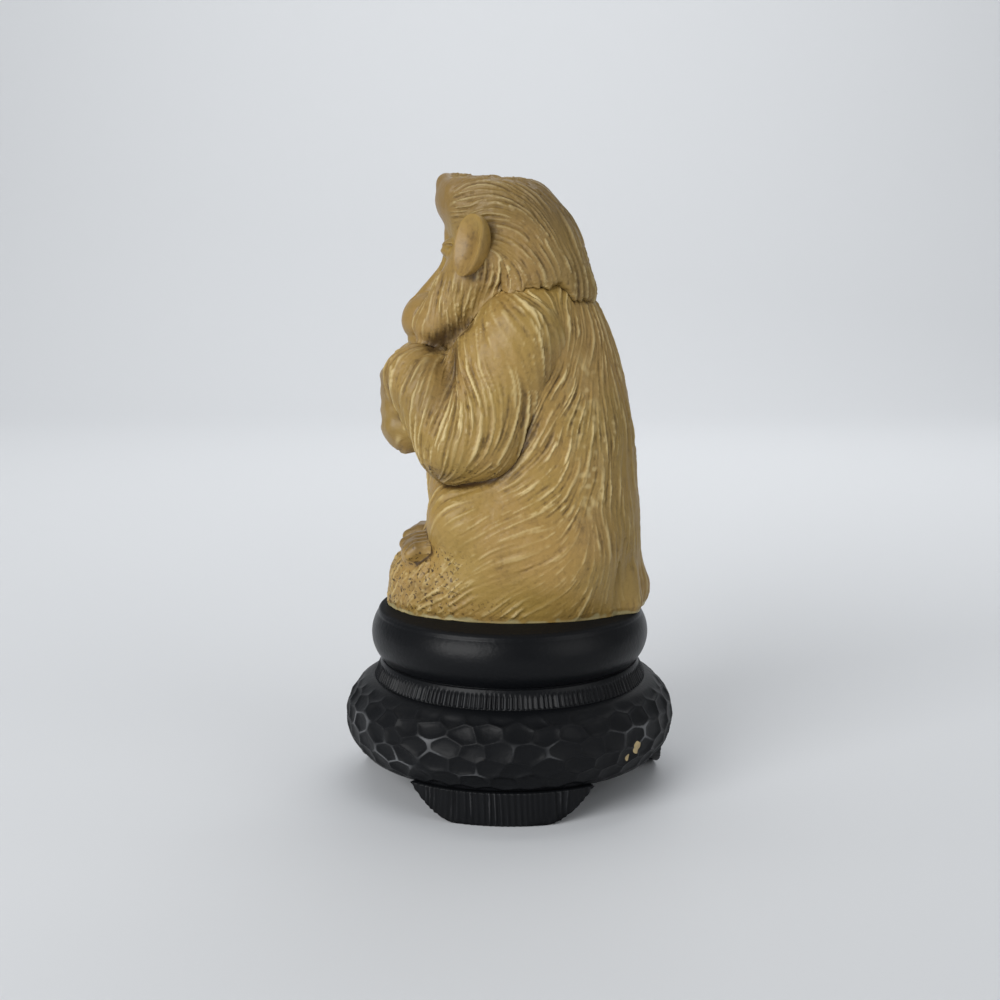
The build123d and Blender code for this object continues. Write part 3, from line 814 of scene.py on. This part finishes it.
def pebbled_drum():
    """Bulging drum whose side is covered with shallow dishes between raised, rubbed ridges."""
    base, top = (DRUM_BASE_RADIUS, DRUM_BASE), (DRUM_TOP_RADIUS, COLLAR_BASE)
    side = arc(base, (DRUM_RADIUS, DRUM_BASE + DRUM_WIDEST_RISE), top, DRUM_ROWS)
    floor = line((0, DRUM_BASE), base, DRUM_FLOOR_ROWS)
    roof = line(top, (0, COLLAR_BASE), DRUM_FLOOR_ROWS) + [(0, COLLAR_BASE)]
    points = turned(floor + side + roof, STAND_COLUMNS)
    turn = np.linspace(0, 2 * math.pi, STAND_COLUMNS, endpoint=False)
    run = np.zeros(len(points))
    run[DRUM_FLOOR_ROWS:DRUM_FLOOR_ROWS + DRUM_ROWS] = np.arange(DRUM_ROWS) * DRUM_RUN / DRUM_ROWS
    around, up = np.broadcast_arrays(turn[None, :] * DRUM_RADIUS, run[:, None])
    first, second, owner = cells(around, up, DISH_COLUMNS, DISH_PITCH)
    border = join((second - first) / 2, 3.2 - first, 0.6)
    extent = smooth(up, 0.2, 1.6) * smooth(18.6 + 1.4 * noise(points, 5.0) - up, 0, 3.2)
    extent = extent * (np.arange(len(points)) > DRUM_FLOOR_ROWS)[:, None]
    edged = 1 - (1 - np.clip(border / 1.2, 0, 1)) ** 2
    bowl = 0.4 * edged + 0.6 * np.clip(1 - (first / 2.7) ** 2, 0, 1)
    lift = extent * (-DISH_DEPTH * (0.6 + 0.4 * owner) * bowl + 0.04 * noise(points, 1.6))
    z = points[..., 2]
    outward = points * np.array([1, 1, 0])
    outward = np.concatenate([outward[..., :2], (z - DRUM_BASE - DRUM_WIDEST_RISE)[..., None] * 2.5], -1)
    outward /= np.linalg.norm(outward, axis=-1, keepdims=True) + 1e-9
    band = smooth(up, 3.0, 5.5) * smooth(14.5 - up, 0, 3.5) * smooth(noise(points, 6.5), -0.3, 0.3)
    ridge = extent * band * smooth(0.45 - border, 0.05, 0.4)
    chip = np.zeros_like(z)
    for spot, size in (((20.5, -19.0, 10.6), 1.1), ((19.2, -20.4, 9.2), 0.4)):
        away = np.linalg.norm(points - np.array(spot), axis=-1) + 0.35 * noise(points, 0.7)
        chip = np.maximum(chip, smooth(size + 0.3 - away, 0, 0.6))
    points = points + (lift - 0.15 * chip)[..., None] * outward
    return closed_mesh("stand_drum", points, {"wear": ridge, "chip": chip, "dull": 0 * z})


def bracket_foot(name, angle):
    """A bracket foot: an upright section carried round the stand, shorter at the bottom, its face ribbed."""
    low, high, inner, outer = 0.0, DRUM_BASE, FOOT_INNER, FOOT_OUTER
    under, front = (outer - FOOT_EDGE, low), (outer, low + FOOT_EDGE)
    loop = (
        line((inner, low), under, 8) + arc(under, (outer - 0.15, low + 0.15), front, 4)
        + line(front, (outer, high), 22) + line((outer, high), (inner, high), 8)
        + line((inner, high), (inner, low), 12)
    )
    radius, height = (np.array(column)[None, :] for column in zip(*loop))
    reach = np.radians(mix(FOOT_LOW_REACH, FOOT_HIGH_REACH, np.clip(height / high, 0, 1) ** FOOT_FLARE))
    share = np.linspace(-1, 1, 150)[:, None]
    turn = share * reach
    face = smooth(radius, outer - 0.6, outer)
    place = np.stack(np.broadcast_arrays(turn * 26, height * 0.2, 0 * turn), -1)
    ribs = np.cos(FOOT_RIBS * turn + 2.2 * noise(place, 1.8)) * (0.7 + 0.6 * noise(place + 9, 1.4))
    radius = radius + face * (0.18 * ribs - 0.2)
    turn = turn + math.radians(angle)
    points = np.stack(np.broadcast_arrays(radius * np.cos(turn), radius * np.sin(turn), height), -1)
    ends = [np.broadcast_to(points[k].mean(0), points[k].shape)[None] for k in (0, -1)]
    points = np.concatenate([ends[0], points, ends[1]])
    wear = np.concatenate([face[:1] * 0, face * smooth(ribs, 0.2, 1.0) * 0.6, face[:1] * 0])
    points, wear = points[:, ::-1], wear[:, ::-1]
    return closed_mesh(name, points, {"wear": wear, "chip": 0 * wear, "dull": 0 * wear})


# Pieces in place

def dress(piece, node, material):
    """The piece stands for the node, rides with the part and takes that finish."""
    piece.data.materials.append(material)
    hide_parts(node)
    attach(piece, "root")


cream = resin()
satin, matte = black_paint("satin_black", 0.30), black_paint("matte_black", 0.40)
screw = steel()
for piece in figure_body() + figure_head() + figure_arms() + [figure_ear(-1), figure_ear(1)]:
    dress(piece, "monkey_figure", cream)
dress(seat_ring(), "seat_ring", satin)
dress(pebbled_drum(), "pebbled_drum", matte)
for place, angle in (("left", -93.5), ("rear_right", 26.5), ("front_right", 146.5)):
    dress(bracket_foot(f"foot_{place}", angle), f"stand_foot_{place}", matte)
for node in ("fixing_screw", "screw_washer"):
    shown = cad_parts[node].data.materials
    shown.clear()
    shown.append(screw)


# Studio

def lamp(name, place, aim, size, power):
    """A soft square light at a place, aimed at a point, both in metres."""
    light = bpy.data.lights.new(name, "AREA")
    light.size, light.energy = size, power
    made = bpy.data.objects.new(name, light)
    made.location = place
    made.rotation_euler = (Vector(aim) - Vector(place)).to_track_quat("-Z", "Y").to_euler()
    bpy.context.scene.collection.objects.link(made)


def studio():
    """A pale floor that runs up into a backdrop, soft lights, a pale surround and the photograph's camera."""
    turn = np.linspace(0, math.pi / 2, 24)
    depth = np.concatenate([[-1.2], 0.6 + 0.5 * np.sin(turn), [1.1]])
    height = np.concatenate([[0.0], 0.5 - 0.5 * np.cos(turn), [2.0]])
    width = np.array([-2.0, 2.0])
    verts = [(w, d, h) for d, h in zip(depth, height) for w in width]
    faces = [(2 * i, 2 * i + 1, 2 * i + 3, 2 * i + 2) for i in range(len(depth) - 1)]
    mesh = bpy.data.meshes.new("floor")
    mesh.from_pydata(verts, [], faces)
    mesh.polygons.foreach_set("use_smooth", np.ones(len(faces), bool))
    pale = Material("pale_floor").set(Base_Color=FLOOR_GREY, Roughness=0.8)
    mesh.materials.append(pale)
    floor = bpy.data.objects.new("floor", mesh)
    bpy.context.scene.collection.objects.link(floor)
    world = bpy.data.worlds.new("surround")
    world.use_nodes = True
    world.node_tree.nodes["Background"].inputs["Color"].default_value = SURROUND
    world.node_tree.nodes["Background"].inputs["Strength"].default_value = 0.30
    bpy.context.scene.world = world
    middle = (0, 0, 0.05)
    lamp("key", (-0.42, -0.50, 0.30), middle, 0.45, 4.0)
    lamp("fill", (0.55, -0.40, 0.30), middle, 0.50, 1.0)
    lamp("back", (0.15, 0.45, 0.50), middle, 0.40, 0.6)
    lamp("wash", (0.0, 0.35, 0.95), (0.0, 1.1, 0.45), 0.9, 6.5)
    data = bpy.data.cameras.new("camera")
    data.lens, data.sensor_width, data.clip_start = CAMERA_LENS, CAMERA_SENSOR, 0.01
    camera = bpy.data.objects.new("camera", data)
    camera.location = CAMERA_PLACE
    camera.rotation_euler = (math.radians(90 - CAMERA_PITCH), 0, 0)
    bpy.context.scene.collection.objects.link(camera)
    bpy.context.scene.camera = camera
    bpy.context.scene.view_settings.view_transform = "Standard"


studio()
